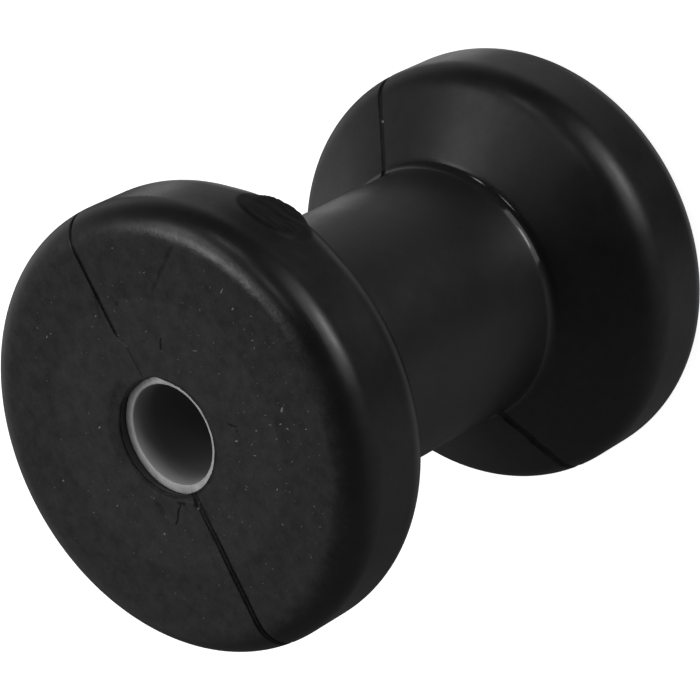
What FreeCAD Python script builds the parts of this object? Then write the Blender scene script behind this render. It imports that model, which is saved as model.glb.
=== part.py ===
import FreeCAD, Part
import math
import os

import Sketcher

# Boat trailer roller for a keel: a moulded rubber spool on a plastic tube that lines its bore
# Millimetres and degrees. Z is the axis and z = 0 is the lower end face, on which the roller stands
# X is where the mould's parting line crosses the end faces

doc = FreeCAD.newDocument("boat_trailer_roller")

# Driving dimensions: name, value and what it measures
DIMENSIONS = (
    ("overall_length", "101.6", "end face to end face"),
    ("flange_diameter", "76.2", "over the rims"),
    ("rim_width", "13.6", "end face to the start of the curve behind the rim"),
    ("flange_width", "28.4", "end face to the end of the curve at the flange's root"),
    ("barrel_diameter", "45.4", "straight waist between the flanges"),
    ("outer_corner", "5.6", "radius from end face to rim"),
    ("inner_corner", "6.5", "radius from rim to flare"),
    ("root_radius", "2.5", "radius from flare to barrel"),
    ("tube_diameter", "20.0", "outside of the bore tube, and the seat moulded on it"),
    ("tube_wall", "1.5", "wall of the bore tube"),
    ("tube_recess", "1.1", "end face to the tube's end, at the axis"),
    ("tube_slope", "4.0", "how far the tube's upper end is out of square"),
    ("tube_break", "0.3", "broken edge inside the tube's ends"),
    ("mouth_gap", "0.35", "clearance round the tube's end in the rubber's mouth"),
    ("mouth_depth", "1.9", "end face to the floor of the mouth"),
    ("parting_width", "0.9", "width on the rims of the line that the two mould halves leave"),
    ("parting_depth", "0.4", "depth of that line"),
    ("gate_azimuth", "-51.8", "direction of the gate's stub, from X"),
    ("gate_inset", "12.9", "upper end face to the middle of the stub"),
    ("gate_length", "12.4", "the stub's oval, round the rim"),
    ("gate_width", "7.8", "the stub's oval, along the axis"),
    ("gate_rise", "0.8", "height at which the stub was cut, above the rim"),
    ("gate_root", "4.0", "depth below the rim from which the stub is solid"),
    ("cut_margin", "5.0", "how far each cut runs past the surface"),
)

sheet = doc.addObject("Spreadsheet::Sheet", "sizes")
for row, (name, value, meaning) in enumerate(DIMENSIONS, start=1):
    sheet.set(f"A{row}", name)
    sheet.set(f"B{row}", value)
    sheet.set(f"C{row}", meaning)
    sheet.setAlias(f"B{row}", name)
doc.recompute()


def size(name):
    """A driving dimension, for the first drawing of a sketch."""
    return float(sheet.get(name))


# Expressions that more than one feature uses, each measured from the middle of the roller
HALF_LENGTH = "sizes.overall_length / 2"
RIM_RADIUS = "sizes.flange_diameter / 2"
BARREL_RADIUS = "sizes.barrel_diameter / 2"
SEAT_RADIUS = "sizes.tube_diameter / 2"
BORE_RADIUS = "(sizes.tube_diameter / 2 - sizes.tube_wall)"
MOUTH_RADIUS = "(sizes.tube_diameter / 2 + sizes.mouth_gap)"

# Sketch point numbers: an edge's two ends, the centre of an arc, and the sketch's own origin
START, END, CENTRE = 1, 2, 3
ORIGIN = (-1, 1)


def new_body(label):
    """A sub-part drawn about the roller's middle and lifted to stand on the plane z = 0."""
    body = doc.addObject("PartDesign::Body", label)
    body.Label = label
    body.setExpression(".Placement.Base.z", HALF_LENGTH)
    return body


def origin_feature(body, role):
    return next(item for item in body.Origin.OriginFeatures if item.Role == role)


def new_sketch(body, name, plane):
    sketch = body.newObject("Sketcher::SketchObject", name)
    sketch.AttachmentSupport = [(origin_feature(body, plane), "")]
    sketch.MapMode = "FlatFace"
    return sketch


def drawn_value(sketch, kind, places):
    """What a new dimension measures on the sketch as drawn, so that adding it moves nothing."""
    if kind == "Radius":
        return sketch.Geometry[places[0]].Radius
    if kind == "Distance":
        places = (places[0], START, places[0], END)
    span = sketch.getPoint(*places[2:]) - sketch.getPoint(*places[:2])
    return {"Distance": span.Length, "DistanceX": span.x, "DistanceY": span.y}[kind]


def dimension(sketch, kind, places, expression):
    """Adds a dimension of the given kind and binds it to an expression."""
    value = drawn_value(sketch, kind, places)
    index = sketch.addConstraint(Sketcher.Constraint(kind, *places, value))
    sketch.setExpression(f"Constraints[{index}]", expression)


def shared_points(sketch, first, second):
    """The point numbers at which two edges of a chain touch."""
    for p in (START, END):
        for q in (START, END):
            gap = sketch.getPoint(first, p).distanceToPoint(sketch.getPoint(second, q))
            if gap < 1e-6:
                return p, q
    raise ValueError("edges of the chain don't touch")


def join(sketch, first, second, kind="Coincident"):
    p, q = shared_points(sketch, first, second)
    sketch.addConstraint(Sketcher.Constraint(kind, first, p, second, q))


def add_line(sketch, start, end):
    return sketch.addGeometry(Part.LineSegment(FreeCAD.Vector(*start, 0), FreeCAD.Vector(*end, 0)), False)


def add_arc(sketch, centre, radius, first, last):
    """An arc from one angle to another, in degrees and counter-clockwise."""
    circle = Part.Circle(FreeCAD.Vector(*centre, 0), FreeCAD.Vector(0, 0, 1), radius)
    arc = Part.ArcOfCircle(circle, math.radians(first), math.radians(last))
    return sketch.addGeometry(arc, False)


def flare_angle():
    """Angle of the normal of the flare's straight line, which touches the curves at its two ends."""
    along = size("flange_width") - size("rim_width")
    inner, root = size("inner_corner"), size("root_radius")
    across = size("flange_diameter") / 2 - inner - size("barrel_diameter") / 2 - root
    reach = math.hypot(across, along)
    return math.degrees(math.atan2(-along, -across) + math.acos((inner + root) / reach))


def draw_end(sketch, side, depth, barrel, inner_radius):
    """Draws one end of the spool's outline, from its end face to the barrel's line.

    side is 1 for the upper end and -1 for the lower one, and barrel is the straight waist's line.
    The end is drawn at the surface, and its dimensions then sink it by depth, an expression.
    """
    middle = size("overall_length") / 2
    rim = size("flange_diameter") / 2
    outer, inner, root = size("outer_corner"), size("inner_corner"), size("root_radius")
    lean = flare_angle()
    outer_centre = (rim - outer, middle - outer)
    inner_centre = (rim - inner, middle - size("rim_width"))
    root_centre = (size("barrel_diameter") / 2 + root, middle - size("flange_width"))

    def line(start, end):
        return add_line(sketch, (start[0], side * start[1]), (end[0], side * end[1]))

    def arc(centre, radius, first, last):
        if side < 0:
            first, last = -last, -first
        return add_arc(sketch, (centre[0], side * centre[1]), radius, first, last)

    def touch(centre, radius):
        turn = math.radians(lean)
        return (centre[0] + radius * math.cos(turn), centre[1] + radius * math.sin(turn))

    face = line((inner_radius, middle), (outer_centre[0], middle))
    corner = arc(outer_centre, outer, 0, 90)
    band = line((rim, outer_centre[1]), (rim, inner_centre[1]))
    turn_in = arc(inner_centre, inner, lean, 0)
    flare = line(touch(inner_centre, inner), touch(root_centre, -root))
    foot = arc(root_centre, root, lean + 180, 180)
    chain = (face, corner, band, turn_in, flare, foot, barrel)
    for first, second in zip(chain, chain[1:]):
        join(sketch, first, second, "Tangent")
    sketch.addConstraint(Sketcher.Constraint("Horizontal", face))
    sketch.addConstraint(Sketcher.Constraint("Vertical", band))

    def height(edge, point, expression):
        places = (*ORIGIN, edge, point) if side > 0 else (edge, point, *ORIGIN)
        dimension(sketch, "DistanceY", places, expression)

    height(face, START, f"{HALF_LENGTH} - {depth}")
    height(turn_in, CENTRE, f"{HALF_LENGTH} - sizes.rim_width")
    height(foot, CENTRE, f"{HALF_LENGTH} - sizes.flange_width")
    dimension(sketch, "DistanceX", (*ORIGIN, band, START), f"{RIM_RADIUS} - {depth}")
    dimension(sketch, "Radius", (corner,), f"sizes.outer_corner - {depth}")
    dimension(sketch, "Radius", (turn_in,), f"sizes.inner_corner - {depth}")
    dimension(sketch, "Radius", (foot,), f"sizes.root_radius + {depth}")
    return face


def draw_outline(sketch, depth, inner_radius):
    """Draws the spool's whole outline, sunk by an expression, and returns its end face lines."""
    waist = size("barrel_diameter") / 2
    reach = size("overall_length") / 2 - size("flange_width")
    barrel = add_line(sketch, (waist, reach), (waist, -reach))
    upper = draw_end(sketch, 1, depth, barrel, inner_radius)
    lower = draw_end(sketch, -1, depth, barrel, inner_radius)
    sketch.addConstraint(Sketcher.Constraint("Vertical", barrel))
    dimension(sketch, "DistanceX", (*ORIGIN, barrel, START), f"{BARREL_RADIUS} - {depth}")
    return upper, lower


def close_outline(sketch, upper, lower, corners):
    """Closes an outline with straight lines from its upper face line to its lower one."""
    points = [sketch.getPoint(upper, START)]
    points += [FreeCAD.Vector(x, z, 0) for x, z in corners]
    points += [sketch.getPoint(lower, START)]
    lines = []
    for a, b in zip(points, points[1:]):
        line = add_line(sketch, (a.x, a.y), (b.x, b.y))
        upright = abs(a.x - b.x) < 1e-6
        sketch.addConstraint(Sketcher.Constraint("Vertical" if upright else "Horizontal", line))
        lines.append(line)
    chain = [upper] + lines + [lower]
    for first, second in zip(chain, chain[1:]):
        join(sketch, first, second)
    return lines


def revolve(body, name, sketch):
    """A full turn of the sketch about the roller's axis."""
    feature = body.newObject("PartDesign::Revolution", name)
    feature.Profile = sketch
    feature.ReferenceAxis = (origin_feature(body, "Z_Axis"), [""])
    feature.Angle = 360


def edges_near(feature, test):
    """Names of the feature's edges whose every sampled point passes the test."""
    found = []
    for index, edge in enumerate(feature.Shape.Edges, start=1):
        if all(test(point) for point in edge.discretize(5)):
            found.append(f"Edge{index}")
    return found


# Roller body: one rubber moulding with two flared flanges, a straight barrel and a stepped bore

body = new_body("roller_body")

section = new_sketch(body, "spool_section", "XZ_Plane")
mouth = size("tube_diameter") / 2 + size("mouth_gap")
seat = size("tube_diameter") / 2
floor = size("overall_length") / 2 - size("mouth_depth")
upper_face, lower_face = draw_outline(section, "0", mouth)
steps = close_outline(section, upper_face, lower_face,
                      ((mouth, floor), (seat, floor), (seat, -floor), (mouth, -floor)))
dimension(section, "DistanceX", (*ORIGIN, steps[0], START), MOUTH_RADIUS)
dimension(section, "DistanceX", (*ORIGIN, steps[4], START), MOUTH_RADIUS)
dimension(section, "DistanceX", (*ORIGIN, steps[2], START), SEAT_RADIUS)
dimension(section, "DistanceY", (*ORIGIN, steps[2], START), f"{HALF_LENGTH} - sizes.mouth_depth")
dimension(section, "DistanceY", (steps[2], END, *ORIGIN), f"{HALF_LENGTH} - sizes.mouth_depth")
revolve(body, "spool", section)

# Gate: the oval stub where the rubber was fed into the mould, cut off flat just above the rim
# It stands on a plane square to its own radius, which lies below the rim
gate_sketch = new_sketch(body, "gate_oval", "YZ_Plane")
GATE_PLANE = f"({RIM_RADIUS} - sizes.gate_root)"
turn_about_y = FreeCAD.Rotation(FreeCAD.Vector(0, 1, 0), 1)
gate_sketch.AttachmentOffset = FreeCAD.Placement(FreeCAD.Vector(), turn_about_y)
gate_sketch.setExpression(".AttachmentOffset.Base.x", f"{GATE_PLANE} * sin(sizes.gate_azimuth)")
gate_sketch.setExpression(".AttachmentOffset.Base.y", f"{HALF_LENGTH} - sizes.gate_inset")
gate_sketch.setExpression(".AttachmentOffset.Base.z", f"{GATE_PLANE} * cos(sizes.gate_azimuth)")
gate_sketch.setExpression(".AttachmentOffset.Rotation.Angle", "sizes.gate_azimuth")
half_oval = (size("gate_length") / 2, size("gate_width") / 2)
oval = gate_sketch.addGeometry(Part.Ellipse(FreeCAD.Vector(), *half_oval), False)
gate_sketch.exposeInternalGeometry(oval)
long_axis, short_axis = oval + 1, oval + 2
gate_sketch.addConstraint(Sketcher.Constraint("Coincident", oval, CENTRE, *ORIGIN))
gate_sketch.addConstraint(Sketcher.Constraint("Horizontal", long_axis))
dimension(gate_sketch, "Distance", (long_axis,), "sizes.gate_length")
dimension(gate_sketch, "Distance", (short_axis,), "sizes.gate_width")
gate = body.newObject("PartDesign::Pad", "gate_stub")
gate.Profile = gate_sketch
gate.setExpression("Length", "sizes.gate_root + sizes.gate_rise")

# Parting line: a shallow groove over the whole outline, in the one plane that holds the axis
# Its walls lie along the radius, so it is widest on the rims and narrows towards the bore
# The cut takes everything outside the sunk outline, one side first and then the other
groove_sketch = new_sketch(body, "parting_outline", "XZ_Plane")
reach = size("flange_diameter") / 2 + size("cut_margin")
top = size("overall_length") / 2 + size("cut_margin")
upper_face, lower_face = draw_outline(groove_sketch, "sizes.parting_depth", 0.0)
frame = close_outline(groove_sketch, upper_face, lower_face,
                      ((0.0, top), (reach, top), (reach, -top), (0.0, -top)))
groove_sketch.addConstraint(Sketcher.Constraint("PointOnObject", frame[0], START, -2))
groove_sketch.addConstraint(Sketcher.Constraint("PointOnObject", frame[4], START, -2))
dimension(groove_sketch, "DistanceX", (*ORIGIN, frame[2], START), f"{RIM_RADIUS} + sizes.cut_margin")
dimension(groove_sketch, "DistanceY", (*ORIGIN, frame[2], START), f"{HALF_LENGTH} + sizes.cut_margin")
dimension(groove_sketch, "DistanceY", (frame[2], END, *ORIGIN), f"{HALF_LENGTH} + sizes.cut_margin")
groove = body.newObject("PartDesign::Groove", "parting_groove")
groove.Profile = groove_sketch
groove.ReferenceAxis = (origin_feature(body, "Z_Axis"), [""])
groove.Midplane = True
groove.setExpression("Angle", f"2 * asin(sizes.parting_width / 2 / ({RIM_RADIUS}))")
doc.recompute()

both_sides = body.newObject("PartDesign::PolarPattern", "parting_groove_all_round")
both_sides.Originals = [groove]
both_sides.Axis = (origin_feature(body, "Z_Axis"), [""])
both_sides.Angle = 360
both_sides.Occurrences = 2
body.Tip = both_sides

# Bore liner: a length of grey plastic tube, held by the rubber that was moulded round it
# Its upper end was sawn a little out of square, lowest towards +Y

liner = new_body("bore_liner")

wall_sketch = new_sketch(liner, "tube_section", "XZ_Plane")
bore = size("tube_diameter") / 2 - size("tube_wall")
tube_end = size("overall_length") / 2 - size("tube_recess")
full_end = size("overall_length") / 2
corners = ((bore, -tube_end), (seat, -tube_end), (seat, full_end), (bore, full_end))
sides = [add_line(wall_sketch, a, b) for a, b in zip(corners, corners[1:] + corners[:1])]
for first, second in zip(sides, sides[1:] + sides[:1]):
    join(wall_sketch, first, second)
for index, direction in enumerate(("Horizontal", "Vertical", "Horizontal", "Vertical")):
    wall_sketch.addConstraint(Sketcher.Constraint(direction, sides[index]))
dimension(wall_sketch, "DistanceX", (*ORIGIN, sides[0], START), BORE_RADIUS)
dimension(wall_sketch, "DistanceX", (*ORIGIN, sides[1], START), SEAT_RADIUS)
dimension(wall_sketch, "DistanceY", (sides[1], START, *ORIGIN), f"{HALF_LENGTH} - sizes.tube_recess")
dimension(wall_sketch, "DistanceY", (*ORIGIN, sides[1], END), HALF_LENGTH)
revolve(liner, "tube", wall_sketch)

saw_sketch = new_sketch(liner, "sawn_end", "YZ_Plane")
reach = seat + size("cut_margin")
drop = reach * math.tan(math.radians(size("tube_slope")))
top = full_end + size("cut_margin")
corners = ((-reach, tube_end + drop), (reach, tube_end - drop), (reach, top), (-reach, top))
sides = [add_line(saw_sketch, a, b) for a, b in zip(corners, corners[1:] + corners[:1])]
for first, second in zip(sides, sides[1:] + sides[:1]):
    join(saw_sketch, first, second)
for index, direction in ((1, "Vertical"), (2, "Horizontal"), (3, "Vertical")):
    saw_sketch.addConstraint(Sketcher.Constraint(direction, sides[index]))
REACH = f"({SEAT_RADIUS} + sizes.cut_margin)"
DROP = f"{REACH} * tan(sizes.tube_slope)"
dimension(saw_sketch, "DistanceX", (sides[0], START, *ORIGIN), REACH)
dimension(saw_sketch, "DistanceX", (*ORIGIN, sides[0], END), REACH)
dimension(saw_sketch, "DistanceY", (*ORIGIN, sides[0], START), f"{HALF_LENGTH} - sizes.tube_recess + {DROP}")
dimension(saw_sketch, "DistanceY", (*ORIGIN, sides[0], END), f"{HALF_LENGTH} - sizes.tube_recess - {DROP}")
dimension(saw_sketch, "DistanceY", (*ORIGIN, sides[2], START), f"{HALF_LENGTH} + sizes.cut_margin")
saw_cut = liner.newObject("PartDesign::Pocket", "saw_cut")
saw_cut.Profile = saw_sketch
saw_cut.Midplane = True
saw_cut.setExpression("Length", f"2 * {REACH}")
doc.recompute()


def on_bore_end(point):
    """Whether a point lies on the bore wall, in the outer half of either end."""
    return abs(math.hypot(point.x, point.y) - bore) < 1e-3 and abs(point.z) > tube_end / 2


edge_break = liner.newObject("PartDesign::Chamfer", "broken_edges")
edge_break.Base = (saw_cut, edges_near(saw_cut, on_bore_end))
edge_break.setExpression("Size", "sizes.tube_break")
doc.recompute()

# Checks: no failed feature, every cut takes something away, and each piece is one valid solid

for item in doc.Objects:
    if "Invalid" in item.State or "Error" in item.State:
        raise RuntimeError(f"{item.Name} failed: {item.State}")
for cut in (groove, both_sides, saw_cut, edge_break):
    if cut.Shape.Volume >= cut.BaseFeature.Shape.Volume:
        raise RuntimeError(f"{cut.Name} cuts nothing")
for part in (body, liner):
    shape = part.Shape
    if shape.isNull() or not shape.isValid() or len(shape.Solids) != 1:
        raise RuntimeError(f"{part.Label} isn't one valid solid")

os.makedirs("parts", exist_ok=True)
for part in (body, liner):
    part.Shape.exportStep(f"parts/{part.Label}.step")
    box = part.Shape.BoundBox
    print(f"{part.Label}: {part.Shape.Volume / 1000:.2f} cm3, "
          f"{box.XLength:.2f} x {box.YLength:.2f} x {box.ZLength:.2f} mm, z from {box.ZMin:.2f}")
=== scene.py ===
import math
import random

import bpy
from mathutils import Matrix, Vector


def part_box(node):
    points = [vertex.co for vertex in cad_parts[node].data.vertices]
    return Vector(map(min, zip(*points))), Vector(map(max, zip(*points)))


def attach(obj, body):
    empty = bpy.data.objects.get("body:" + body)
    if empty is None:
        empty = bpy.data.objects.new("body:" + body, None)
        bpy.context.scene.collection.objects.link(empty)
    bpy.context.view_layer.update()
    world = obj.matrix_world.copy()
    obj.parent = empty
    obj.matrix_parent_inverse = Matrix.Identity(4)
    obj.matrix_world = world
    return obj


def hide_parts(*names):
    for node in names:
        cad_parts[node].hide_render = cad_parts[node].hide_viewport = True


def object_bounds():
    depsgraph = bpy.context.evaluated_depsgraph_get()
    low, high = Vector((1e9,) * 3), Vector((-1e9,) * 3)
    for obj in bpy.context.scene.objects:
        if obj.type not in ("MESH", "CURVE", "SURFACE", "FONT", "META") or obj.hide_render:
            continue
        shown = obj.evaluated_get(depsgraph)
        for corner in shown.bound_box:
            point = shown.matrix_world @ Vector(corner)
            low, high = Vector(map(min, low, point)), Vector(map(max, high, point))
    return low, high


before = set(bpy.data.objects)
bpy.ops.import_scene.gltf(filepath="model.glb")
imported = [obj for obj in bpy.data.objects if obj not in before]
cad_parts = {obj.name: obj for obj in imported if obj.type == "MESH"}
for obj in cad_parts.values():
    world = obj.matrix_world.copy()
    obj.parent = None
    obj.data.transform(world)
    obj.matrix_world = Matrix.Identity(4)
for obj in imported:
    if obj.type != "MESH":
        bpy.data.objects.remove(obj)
cad_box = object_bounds()

# Rubber body
# One moulding of black rubber: two flanges that flare up from a straight barrel, cured in a mould of two
# halves. It leaves a thin line all round through the axis, and the cut-off stub of the gate beside it.

# Sizes are in mm and azimuths in degrees, and a depth is measured from the nearer end face
MM = 0.001
low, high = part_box("roller_body")
LENGTH = (high.z - low.z) / MM
RIM = high.y / MM
BARREL = 22.7
OUTER_CORNER = 5.6
INNER_CORNER = 6.5
ROOT = 2.5
RIM_WIDTH = 13.6
FLANGE_WIDTH = 28.4
DISH = 0.08
FACE_DEPTH = 1

# The mouth: the pipe's seat, the gap above it, and the lip, which is drawn aside and frayed
SEAT = 10.0
SEAT_DEPTH = 2.8
GAP = 10.06
GAP_DEPTHS = (2.5, 0.7)
LIP = 9.66
LIP_DEPTH = 0.5
LIP_EDGE = 0.12
LIP_BAND = 8
LIP_SHIFT = (0.04, -0.04, 0.0)
LIP_FRAY = 0.16
LIP_RADII = (14.0, 10.5)
LIP_HEIGHT = 0.6

# The gate's stub: the way it faces, how far out that side of the roller starts, its oval's middle and
# two half widths, the cut across it, and its torn surface and swelling
GATE_AZIMUTH = -51.8
GATE_OUTWARD = (math.cos(math.radians(GATE_AZIMUTH)), math.sin(math.radians(GATE_AZIMUTH)), 0.0)
GATE_SIDEWAYS = (-GATE_OUTWARD[1], GATE_OUTWARD[0], 0.0)
GATE_SIDE = 20
GATE_PLACE = LENGTH - 12.9
GATE_REACH = (6.8, 4.1)
GATE_RISE = 0.75
GATE_TILT = -0.1
GATE_TORN = (-0.25, 0.2)
GATE_SWELL = 0.6

# The parting line: half its width towards -X and towards +X, where it is thinner, on both flanges;
# how it strays, and how it steps aside and fades near the mouth; and the ridge inside its wide side
LINE_WIDE = 0.62
LINE_THIN = 0.36
LINE_FAR = (0.8, 0.55)
LINE_CHANGE = (50, 35)
LINE_DEPTH = 0.32
LINE_WANDER = 0.3
LINE_FADE = 6.0
LINE_SHIFT = -0.15
LINE_STEP = -1.2
LINE_STEP_RADII = (18.6, 15.2)
LINE_FAINT_RADII = (19, 11)
RIDGE_PLACE = 0.12
RIDGE_EDGES = (0.08, 0.3)
RIDGE_DEPTHS = (8, 4)


def add(tree, kind, inputs=None, **settings):
    """Adds a node with its settings, and feeds each input a value, a socket or a node's first output."""
    node = tree.nodes.new(kind)
    for name, value in settings.items():
        setattr(node, name, value)
    for key, value in (inputs or {}).items():
        if isinstance(value, bpy.types.Node):
            value = value.outputs[0]
        if isinstance(value, bpy.types.NodeSocket):
            tree.links.new(value, node.inputs[key])
        else:
            node.inputs[key].default_value = value
    return node


def colour(code):
    """An sRGB hex colour as linear red, green, blue and alpha."""
    parts = [int(code[place:place + 2], 16) / 255 for place in (1, 3, 5)]
    return [v / 12.92 if v <= 0.04045 else ((v + 0.055) / 1.055) ** 2.4 for v in parts] + [1.0]


def stretch(start, end, step):
    """Points along a straight stretch of an outline, without its end."""
    count = max(1, math.ceil(math.dist(start, end) / step))
    return [tuple(a + (b - a) * i / count for a, b in zip(start, end)) for i in range(count)]


def bend(centre, radius, first, last, step):
    """Points along a round stretch of an outline, from one angle to another, without its end."""
    count = max(1, math.ceil(abs(math.radians(last - first)) * radius / step))
    turns = [math.radians(first + (last - first) * i / count) for i in range(count)]
    return [(centre[0] + radius * math.cos(t), centre[1] + radius * math.sin(t)) for t in turns]


def flange_outline(fine, close):
    """Half of the spool's outline, from the mouth round the rim to mid-barrel, as radius and depth.

    fine is the spacing of the points on the rim, where the gate's stub is, and close that beside the mouth.
    """
    outer = (RIM - OUTER_CORNER, OUTER_CORNER)
    inner = (RIM - INNER_CORNER, RIM_WIDTH)
    root = (BARREL + ROOT, FLANGE_WIDTH)
    across, along = root[0] - inner[0], root[1] - inner[1]
    lean = math.degrees(math.atan2(along, across)
                        - math.acos((INNER_CORNER + ROOT) / math.hypot(across, along)))
    turn = math.radians(lean)
    flare_start = (inner[0] + INNER_CORNER * math.cos(turn), inner[1] + INNER_CORNER * math.sin(turn))
    flare_end = (root[0] - ROOT * math.cos(turn), root[1] - ROOT * math.sin(turn))
    edge = (LIP + LIP_EDGE, LIP_EDGE + DISH)
    band_end = LIP + LIP_BAND
    face = stretch((edge[0], 0), (band_end, 0), close) + stretch((band_end, 0), (outer[0], 0), 0.8)
    gap_floor, gap_top = GAP_DEPTHS
    return (stretch((SEAT, SEAT_DEPTH), (GAP, gap_floor), 0.4)
            + stretch((GAP, gap_floor), (GAP, gap_top), 0.6)
            + stretch((GAP, gap_top), (LIP, LIP_DEPTH), 0.2)
            + stretch((LIP, LIP_DEPTH), (LIP, edge[1]), 0.12)
            + bend(edge, LIP_EDGE, 180, 270, 0.08)
            + [(r, DISH * (1 - (r / outer[0]) ** 2)) for r, _ in face]
            + bend(outer, OUTER_CORNER, 270, 360, 0.45)
            + stretch((RIM, outer[1]), (RIM, inner[1]), fine)
            + bend(inner, INNER_CORNER, 0, lean, fine)
            + stretch(flare_start, flare_end, 0.9)
            + bend(root, ROOT, lean + 180, 180, 0.2)
            + stretch((BARREL, FLANGE_WIDTH), (BARREL, LENGTH / 2), 1.4))


def chain(name, points):
    """A closed chain of vertices and edges, for a Geometry Nodes tree to turn."""
    mesh = bpy.data.meshes.new(name)
    count = len(points)
    mesh.from_pydata([Vector(p) * MM for p in points], [(i, (i + 1) % count) for i in range(count)], [])
    return bpy.data.objects.new(name, mesh)


def new_tree(name, inputs):
    """A Geometry Nodes tree with its named inputs: each a name, a kind of socket and a value."""
    tree = bpy.data.node_groups.new(name, "GeometryNodeTree")
    tree.interface.new_socket("Geometry", in_out="INPUT", socket_type="NodeSocketGeometry")
    for label, kind, value in inputs:
        socket = tree.interface.new_socket(label, in_out="INPUT", socket_type="NodeSocket" + kind)
        if value is not None:
            socket.default_value = value
    tree.interface.new_socket("Geometry", in_out="OUTPUT", socket_type="NodeSocketGeometry")
    return tree


def grown(name, seed, tree, values, node_name):
    """A plain mesh piece, made by running a tree on a seed object, in place of a CAD node if it is named."""
    bpy.context.scene.collection.objects.link(seed)
    modifier = seed.modifiers.new("shape", "NODES")
    modifier.node_group = tree
    for item in tree.interface.items_tree:
        if item.in_out == "INPUT" and item.name in values:
            modifier[item.identifier] = values[item.name]
    graph = bpy.context.evaluated_depsgraph_get()
    mesh = bpy.data.meshes.new_from_object(seed.evaluated_get(graph))
    bpy.data.objects.remove(seed)
    mesh.name = name
    piece = bpy.data.objects.new(name, mesh)
    bpy.context.scene.collection.objects.link(piece)
    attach(piece, "root")
    if node_name:
        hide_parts(node_name)
    return piece


def turned(tree, given):
    """Turns a tree's outline round its ring: the grid, and each point's radius, height and unit spoke."""
    ring = add(tree, "GeometryNodeObjectInfo", {"Object": given.outputs["Ring"]})
    place = add(tree, "GeometryNodeInputPosition")
    kept = []
    for source in (given.outputs["Geometry"], ring.outputs["Geometry"]):
        curve = add(tree, "GeometryNodeMeshToCurve", {"Mesh": source})
        capture = tree.nodes.new("GeometryNodeCaptureAttribute")
        capture.capture_items.new("VECTOR", "place")
        tree.links.new(curve.outputs[0], capture.inputs["Geometry"])
        tree.links.new(place.outputs[0], capture.inputs["place"])
        kept.append(capture)
    grid = add(tree, "GeometryNodeCurveToMesh", {"Curve": kept[1], "Profile Curve": kept[0]})
    outline = add(tree, "ShaderNodeSeparateXYZ", {0: kept[0].outputs["place"]})
    spoke = add(tree, "ShaderNodeVectorMath", {0: kept[1].outputs["place"]}, operation="NORMALIZE")
    return grid, outline.outputs["X"], outline.outputs["Z"], spoke


def painted(tree, given, shape):
    """Ends a tree with real faces in place of instances, in the material that the tree was given."""
    real = add(tree, "GeometryNodeRealizeInstances", {"Geometry": shape})
    done = add(tree, "GeometryNodeSetMaterial", {"Geometry": real, "Material": given.outputs["Material"]})
    add(tree, "NodeGroupOutput", {"Geometry": done})


rubber_tree = new_tree("moulded_spool", (
    ("Ring", "Object", None),
    ("Line wide side", "Float", LINE_WIDE * MM),
    ("Line thin side", "Float", LINE_THIN * MM),
    ("Far wide side", "Float", LINE_FAR[0] * MM),
    ("Far thin side", "Float", LINE_FAR[1] * MM),
    ("Line depth", "Float", LINE_DEPTH * MM),
    ("Line wander", "Float", LINE_WANDER * MM),
    ("Gate plane", "Float", (RIM + GATE_RISE) * MM),
    ("Gate tilt", "Float", GATE_TILT * MM),
    ("Gate swell", "Float", GATE_SWELL * MM),
    ("Material", "Material", None),
))


def gate_oval(tree, place):
    """How far a place is from the gate's middle, 1 at its oval's rim, its two shares, and its reach out.

    Places on the roller's other sides are put far off.
    """
    reach = add(tree, "ShaderNodeVectorMath", {0: place, 1: GATE_OUTWARD}, operation="DOT_PRODUCT")
    sway = add(tree, "ShaderNodeVectorMath", {0: place, 1: GATE_SIDEWAYS}, operation="DOT_PRODUCT")
    parts = add(tree, "ShaderNodeSeparateXYZ", {0: place})
    rise = add(tree, "ShaderNodeMath", {0: parts.outputs["Z"], 1: GATE_PLACE * MM}, operation="SUBTRACT")
    flat = add(tree, "ShaderNodeCombineXYZ", {0: sway.outputs["Value"], 1: rise})
    shares = add(tree, "ShaderNodeVectorMath", {
        0: flat, 1: (1 / (GATE_REACH[0] * MM), 1 / (GATE_REACH[1] * MM), 0.0)}, operation="MULTIPLY")
    oval = add(tree, "ShaderNodeVectorMath", {0: shares}, operation="LENGTH")
    other_side = add(tree, "ShaderNodeMath", {0: reach.outputs["Value"], 1: GATE_SIDE * MM},
                     operation="LESS_THAN")
    oval = add(tree, "ShaderNodeMath", {0: other_side, 1: 10.0, 2: oval.outputs["Value"]},
               operation="MULTIPLY_ADD")
    return oval, shares, reach.outputs["Value"]


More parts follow.
